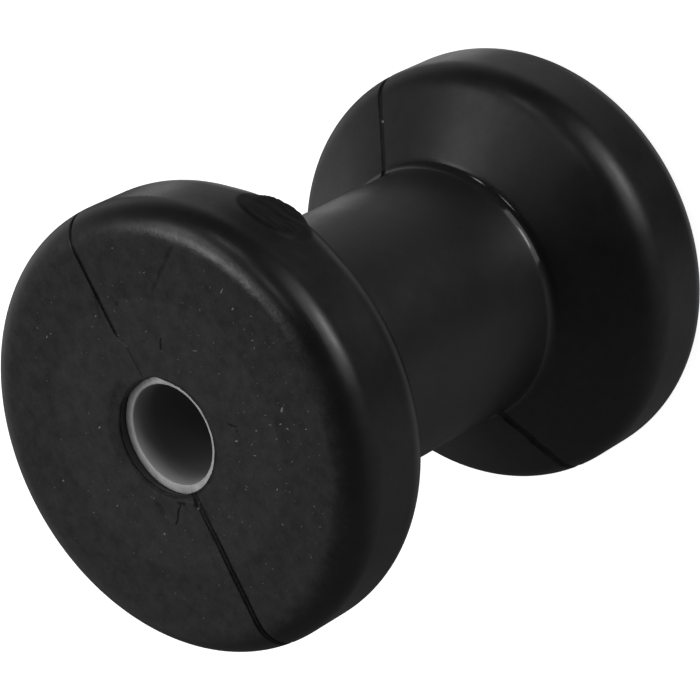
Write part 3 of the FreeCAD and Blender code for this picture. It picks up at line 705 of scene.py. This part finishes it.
def grey_plastic():
    """Grey rigid PVC pipe.

    The end is sawn, which leaves it matt and pale with fine strokes of the saw all one way; the bore keeps
    the satin skin of the extruder, painted darker further down with painted shade.
    """
    material, tree, _, mm, parts, radius = surface("grey_pvc_pipe")
    shader = tree.nodes["Principled BSDF"]
    strokes = add(tree, "ShaderNodeMapping", {
        "Vector": mm, "Rotation": (0.0, 0.0, math.radians(35)), "Scale": (0.25, 4.0, 0.5)})
    strokes = add(tree, "ShaderNodeTexNoise", {"Vector": strokes, "Scale": 1.0, "Detail": 3.0})
    blotches = add(tree, "ShaderNodeTexNoise", {"Vector": mm, "Scale": 0.5, "Detail": 4.0})
    mixed = add(tree, "ShaderNodeMath", {0: strokes, 1: blotches}, operation="MULTIPLY")
    shade = add(tree, "ShaderNodeMapRange", {"Value": mixed, "From Min": 0.12, "From Max": 0.38})
    sawn = add(tree, "ShaderNodeMix", {
        "Factor": shade, "A": colour("#9a9a9a"), "B": colour("#b8b8b7")}, data_type="RGBA")
    # Painted shade: the bore is painted darker from 2 mm to 8 mm down, and the saw's strokes fade over the
    # same depth
    deep = add(tree, "ShaderNodeMapRange", {
        "Value": parts["Z"], "From Min": LENGTH - SHADE_START_DEPTH, "From Max": LENGTH - SHADE_FULL_DEPTH},
        interpolation_type="SMOOTHSTEP")
    skin = add(tree, "ShaderNodeMix", {
        "Factor": deep, "A": colour("#a2a2a2"), "B": colour("#686868")}, data_type="RGBA")
    on_end = add(tree, "ShaderNodeMapRange", {
        "Value": radius, "From Min": BORE + 0.2, "From Max": BORE + EDGE_BREAK + 0.1})
    colours = add(tree, "ShaderNodeMix", {
        "Factor": on_end, "A": skin.outputs["Result"], "B": sawn.outputs["Result"]}, data_type="RGBA")
    tree.links.new(colours.outputs["Result"], shader.inputs["Base Color"])
    shader.inputs["Roughness"].default_value = 0.42
    end_only = add(tree, "ShaderNodeMapRange", {"Value": deep, "To Min": 0.02 * MM, "To Max": 0.0})
    bump = add(tree, "ShaderNodeBump", {"Height": strokes, "Distance": end_only})
    tree.links.new(bump.outputs[0], shader.inputs["Normal"])
    return material


def pipe_outline():
    """The pipe's wall as radius and height: up the outside, over the sawn end, and down the bore."""
    top, bottom = LENGTH - RECESS, RECESS
    close_end = top - CLOSE_ROWS
    return (stretch((SEAT, bottom), (SEAT, close_end), 12)
            + stretch((SEAT, close_end), (SEAT, top), 1.0)
            + stretch((SEAT, top), (BORE + EDGE_BREAK, top), 0.15)
            + bend((BORE + EDGE_BREAK, top - EDGE_BREAK), EDGE_BREAK, 90, 180, 0.08)
            + stretch((BORE, top - EDGE_BREAK), (BORE, close_end), 1.0)
            + stretch((BORE, close_end), (BORE, bottom + EDGE_BREAK), 8)
            + bend((BORE + EDGE_BREAK, bottom + EDGE_BREAK), EDGE_BREAK, 180, 270, 0.16)
            + stretch((BORE + EDGE_BREAK, bottom), (SEAT, bottom), 0.6))


liner_ring = ring("liner_ring", columns(2.5, ()))
liner = grown("pipe_liner", chain("pipe_outline", [(r, 0, z) for r, z in pipe_outline()[::-1]]), liner_tree,
              {"Ring": liner_ring, "Material": grey_plastic()}, "bore_liner")
bpy.data.objects.remove(liner_ring)

# Dust and specks
# Pale specks of dust and trimmings lie on the near face, a few of them large enough to be told apart, and
# one on the far flange. One small lump is laid on every point of a list, with its own turn and size.

# Specks on the near face as x, y, length, width in mm and turn in degrees; the far one has its z as well
SPECKS = (
    (-3.5, -25.5, 1.15, 0.50, 131), (-5.0, -13.7, 0.75, 0.38, 74), (16.8, -25.2, 1.20, 0.26, 121),
    (-13.8, 10.1, 0.60, 0.42, 85), (13.6, -25.6, 0.65, 0.36, 107), (6.0, 12.7, 0.60, 0.45, 113),
    (0.7, 26.0, 0.50, 0.42, 69), (-6.5, -24.8, 0.55, 0.32, 38), (22.7, 14.3, 0.60, 0.34, 125),
    (-4.8, -18.6, 0.55, 0.32, 88), (10.4, -14.2, 1.40, 0.14, 71), (-14.4, -17.0, 0.50, 0.26, 117),
    (-6.6, 17.1, 0.60, 0.28, 116), (-5.4, -23.9, 0.50, 0.28, 83), (22.1, 2.1, 0.50, 0.26, 88),
    (-7.7, -28.3, 0.45, 0.26, 91), (-8.2, -15.9, 0.80, 0.18, 55), (8.0, -26.4, 0.40, 0.24, 91),
    (11.4, -28.4, 0.65, 0.12, 71), (-3.7, 17.4, 0.40, 0.22, 51), (-7.2, -21.7, 0.35, 0.25, 20),
    (-3.2, -21.8, 0.35, 0.25, 60), (-7.9, 8.7, 0.35, 0.22, 140), (0.3, 28.6, 0.35, 0.22, 10))
FAR_SPECK = (31.3, -0.6, 21.6, 0.6, 0.6, 0)
DUST_COUNT = 240
DUST_RADII = (11.5, 31.5)
DUST_REACH = 31
DUST_CHANCE = 0.55
DUST_THINNING = 0.013
DUST_WIDTHS = (0.1, 0.26)
DUST_STRETCH = (1.0, 2.6)

dust_tree = new_tree("laid_specks", (
    ("Flatness", "Float", 0.4),
    ("Material", "Material", None),
))


def grow_dust(tree):
    """Lays one flat lump on each point, with the point's own turn, length and width."""
    given = add(tree, "NodeGroupInput")
    lump = add(tree, "GeometryNodeMeshIcoSphere", {"Radius": 0.5 * MM, "Subdivisions": 1})
    turn, length, width = (
        add(tree, "GeometryNodeInputNamedAttribute", {"Name": name}, data_type="FLOAT")
        for name in ("turn", "length", "width"))
    turn = add(tree, "ShaderNodeCombineXYZ", {2: turn})
    thick = add(tree, "ShaderNodeMath", {0: width, 1: given.outputs["Flatness"]}, operation="MULTIPLY")
    size = add(tree, "ShaderNodeCombineXYZ", {0: length, 1: width, 2: thick})
    laid = add(tree, "GeometryNodeInstanceOnPoints", {
        "Points": given.outputs["Geometry"], "Instance": lump.outputs["Mesh"],
        "Rotation": turn, "Scale": size})
    painted(tree, given, laid)


grow_dust(dust_tree)


def dust(name, code):
    """Chalky dust and rubber crumbs: fully matt and pale against the black."""
    material = bpy.data.materials.new(name)
    material.use_nodes = True
    shader = material.node_tree.nodes["Principled BSDF"]
    shader.inputs["Base Color"].default_value = colour(code)
    shader.inputs["Roughness"].default_value = 0.9
    return material


def loose_points(name, places):
    """A mesh of loose points in mm, each with its place, its speck's length and width, and its turn."""
    mesh = bpy.data.meshes.new(name)
    mesh.from_pydata([Vector(place[:3]) * MM for place in places], [], [])
    lengths, widths, turns = zip(*(place[3:] for place in places))
    turns = [math.radians(turn) for turn in turns]
    for label, values in (("length", lengths), ("width", widths), ("turn", turns)):
        mesh.attributes.new(label, "FLOAT", "POINT").data.foreach_set("value", values)
    return bpy.data.objects.new(name, mesh)


def on_near_face(x, y):
    """The place on the near face that has the given x and y, in mm."""
    return x, y, LENGTH - DISH * (1 - (math.hypot(x, y) / (RIM - OUTER_CORNER)) ** 2)


# The dust is thicker towards -Y, where the chance that a place keeps its speck is greater
chance = random.Random(11)
scattered = []
while len(scattered) < DUST_COUNT:
    x, y = chance.uniform(-DUST_REACH, DUST_REACH), chance.uniform(-DUST_REACH, DUST_REACH)
    on_face = DUST_RADII[0] < math.hypot(x, y) < DUST_RADII[1]
    if on_face and chance.random() < DUST_CHANCE - DUST_THINNING * y:
        width = chance.uniform(*DUST_WIDTHS)
        length = width * chance.uniform(*DUST_STRETCH)
        scattered.append((*on_near_face(x, y), length, width, chance.uniform(0, 180)))
large = [(*on_near_face(x, y), *shape) for x, y, *shape in SPECKS]
large.append(FAR_SPECK)
grown("specks", loose_points("speck_places", large), dust_tree,
      {"Material": dust("pale_speck", "#666666")}, None)
grown("fine_dust", loose_points("dust_places", scattered), dust_tree,
      {"Material": dust("grey_dust", "#505050")}, None)

# Floor, light and camera
# A plain pale floor in a white surround, lit as in a product studio by two soft boxes, smaller lamps and
# wide fills. The camera stands above the near flange and looks down at it, rolled to one side.

CAMERA_PLACE = (0.01362, -0.39227, 0.47866)
CAMERA_UP = Vector((0.89715, -0.30829, -0.31635))
CAMERA_BACK = Vector((0.02566, -0.67859, 0.73407))
FOCAL_LENGTH = 177.56
SENSOR = 36.0
view_axes = Matrix((CAMERA_UP.cross(CAMERA_BACK), CAMERA_UP, CAMERA_BACK)).transposed()
camera_data = bpy.data.cameras.new("camera")
camera_data.lens = FOCAL_LENGTH
camera_data.sensor_width = SENSOR
camera_data.clip_end = 20
camera = bpy.data.objects.new("camera", camera_data)
camera.matrix_world = Matrix.Translation(CAMERA_PLACE) @ view_axes.to_4x4()
bpy.context.scene.collection.objects.link(camera)
bpy.context.scene.camera = camera

centre = (cad_box[0] + cad_box[1]) / 2


def lamp(name, direction, distance, width, tall, radiance):
    """A soft box that faces the middle of the roller, placed by a direction in the view's own axes."""
    data = bpy.data.lights.new(name, "AREA")
    data.shape = "RECTANGLE"
    data.size, data.size_y = width, tall
    data.energy = radiance * math.pi * width * tall
    back = (view_axes @ Vector(direction)).normalized()
    made = bpy.data.objects.new(name, data)
    made.rotation_mode = "QUATERNION"
    made.rotation_quaternion = back.to_track_quat("Z", "Y")
    made.location = centre + back * distance
    made.visible_camera = False
    bpy.context.scene.collection.objects.link(made)
    return made


# Each soft box is a wide dim panel with a brighter middle, and the smaller lamps stand between them and
# behind the roller. A row gives a direction, a width, a height and a brightness.
for name, direction, width, tall, radiance in (
        ("right_panel", (0.636, 0.530, 0.559), 0.8, 0.8, 1.25),
        ("right_middle", (0.70, 0.52, 0.49), 0.26, 0.26, 5.0),
        ("left_panel", (-0.83, 0.14, 0.54), 0.62, 0.75, 1.08),
        ("left_middle", (-0.865, 0.05, 0.50), 0.24, 0.40, 3.3),
        ("left_top", (-0.78, 0.44, 0.44), 0.2, 0.2, 1.9),
        ("behind_panel", (-0.05, 0.44, -0.897), 0.3, 0.26, 0.58),
        ("small_lamp_high", (-0.395, 0.683, 0.614), 0.13, 0.13, 5.0),
        ("small_lamp_low", (-0.27, 0.39, 0.88), 0.13, 0.13, 4.0)):
    lamp(name, direction, 1.0, width, tall, radiance)

# The fills light the rubber without a reflection of their own
for name, direction, distance, width, tall, radiance in (
        ("even_fill", (-0.69, -0.19, 0.70), 1.5, 1.6, 1.6, 1.12),
        ("low_fill", (0.29, 0.575, 0.76), 1.0, 0.8, 0.26, 5.8)):
    fill = lamp(name, direction, distance, width, tall, radiance)
    fill.visible_glossy = False

# The surround is dark towards the camera and pale behind the roller, as the rubber mirrors it. Each row
# is a share of it that changes along one axis of the view: from where to where, and its two levels.
world = bpy.data.worlds.new("surround")
bpy.context.scene.world = world
world.use_nodes = True
sky = world.node_tree
sky.nodes.clear()
gaze = add(sky, "ShaderNodeTexCoord").outputs["Generated"]
towards, sideways, upwards = (
    add(sky, "ShaderNodeVectorMath", {0: gaze, 1: axis}, operation="DOT_PRODUCT").outputs["Value"]
    for axis in (CAMERA_BACK, view_axes.col[0], CAMERA_UP))
aside = add(sky, "ShaderNodeMath", {0: sideways}, operation="ABSOLUTE")
shares = {}
for name, way, start, end, first_level, last_level, kind in (
        ("front", towards, 1.0, 0.5, 0.01, 0.13, "LINEAR"),
        ("high", upwards, 0.4, 0.9, 0.0, 0.6, "LINEAR"),
        ("before", towards, -0.5, 0.0, 0.0, 1.0, "LINEAR"),
        ("back", towards, 0.2, -0.7, 0.0, -0.06, "LINEAR"),
        ("left", sideways, -0.25, -0.95, 0.0, 0.27, "SMOOTHSTEP"),
        ("not_front", towards, 0.4, 0.08, 0.1, 1.0, "LINEAR"),
        ("not_high", upwards, 0.6, 0.2, 0.2, 1.0, "LINEAR"),
        ("right", sideways, 0.5, 1.0, 0.0, 0.12, "SMOOTHSTEP"),
        ("low", upwards, 0.25, -0.05, -0.4, 1.0, "SMOOTHSTEP"),
        ("above", upwards, 0.3, 0.85, 0.0, 1.0, "SMOOTHSTEP"),
        ("behind", towards, -0.05, -0.7, 0.0, 0.26, "SMOOTHSTEP"),
        ("flank", aside, 0.15, 0.6, 0.0, 1.0, "SMOOTHSTEP"),
        ("far_behind", towards, -0.3, -0.85, 0.0, 0.3, "SMOOTHSTEP"),
        ("level_up", upwards, -0.3, 0.25, 0.12, 1.2, "LINEAR")):
    shares[name] = add(sky, "ShaderNodeMapRange", {
        "Value": way, "From Min": start, "From Max": end, "To Min": first_level, "To Max": last_level},
        interpolation_type=kind)

# Shares that hold only together are multiplied: the dark ceiling, the left and right walls, what stands
# above behind the roller, and its flanks. The first is taken from the front, and the rest are added.
joined = []
for names in (("high", "before", "front"), ("left", "not_front", "not_high"), ("right", "low"),
              ("above", "behind"), ("flank", "far_behind", "level_up")):
    part = shares[names[0]]
    for name in names[1:]:
        part = add(sky, "ShaderNodeMath", {0: part, 1: shares[name]}, operation="MULTIPLY")
    joined.append(part)
level = add(sky, "ShaderNodeMath", {0: shares["front"], 1: joined[0]}, operation="SUBTRACT")
for part in (shares["back"], *joined[1:]):
    level = add(sky, "ShaderNodeMath", {0: level, 1: part})
path = add(sky, "ShaderNodeLightPath")
dim = add(sky, "ShaderNodeBackground", {"Color": (1, 1, 1, 1), "Strength": level})
white = add(sky, "ShaderNodeBackground", {"Color": (1, 1, 1, 1), "Strength": 1.0})
chosen = add(sky, "ShaderNodeMixShader", {0: path.outputs["Is Camera Ray"], 1: dim, 2: white})
add(sky, "ShaderNodeOutputWorld", {"Surface": chosen})

FLOOR_REACH = 3.0
floor_mesh = bpy.data.meshes.new("floor")
floor_corners = [(x * FLOOR_REACH, y * FLOOR_REACH, 0) for x, y in ((-1, -1), (1, -1), (1, 1), (-1, 1))]
floor_mesh.from_pydata(floor_corners, [], [(0, 1, 2, 3)])
floor = bpy.data.objects.new("floor", floor_mesh)
bpy.context.scene.collection.objects.link(floor)
floor.visible_glossy = False
floor.visible_shadow = False

# For the camera the matt floor glows up to white, and it still shows the roller's shadow
pale = bpy.data.materials.new("pale_floor")
pale.use_nodes = True
tree = pale.node_tree
tree.nodes.clear()
path = add(tree, "ShaderNodeLightPath")
matt = add(tree, "ShaderNodeBsdfDiffuse", {"Color": colour("#bcbcbc")})
glow = add(tree, "ShaderNodeEmission", {"Color": (1, 1, 1, 1), "Strength": 0.9})
lit = add(tree, "ShaderNodeAddShader", {0: matt, 1: glow})
shown = add(tree, "ShaderNodeMixShader", {0: path.outputs["Is Camera Ray"], 1: matt, 2: lit})
add(tree, "ShaderNodeOutputMaterial", {"Surface": shown})
floor_mesh.materials.append(pale)

bpy.context.scene.view_settings.view_transform = "Standard"
